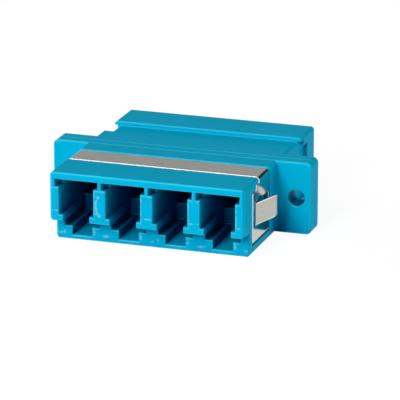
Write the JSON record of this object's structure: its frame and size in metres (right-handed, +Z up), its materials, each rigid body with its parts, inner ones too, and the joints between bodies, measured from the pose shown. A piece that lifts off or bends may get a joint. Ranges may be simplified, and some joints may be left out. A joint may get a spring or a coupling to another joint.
{
  "type": "fibre optic adapter",
  "caption": "Flanged panel adapter that joins small-form fibre plugs end to end, with square ports on both faces, screw ears and a spring clip.",
  "frame": {"origin": "under the middle of the flange, on the plane that its lower edge rests on", "axes": "+X along the row of ports, +Y from the clip end to the plain end, +Z up, from the latch side to the roof of the ports"},
  "size_m": [0.035, 0.0302, 0.0095],
  "materials": {
    "blue_pbt": "moulded, half gloss",
    "stainless_strip": "rolled bright",
    "zirconia": "ground"
  },
  "bodies": {
    "root": {"front_housing": "blue_pbt", "rear_housing": "blue_pbt", "panel_clip": "stainless_strip", "alignment_sleeve_1": "zirconia", "alignment_sleeve_2": "zirconia", "alignment_sleeve_3": "zirconia", "alignment_sleeve_4": "zirconia"}
  },
  "joints": []
}
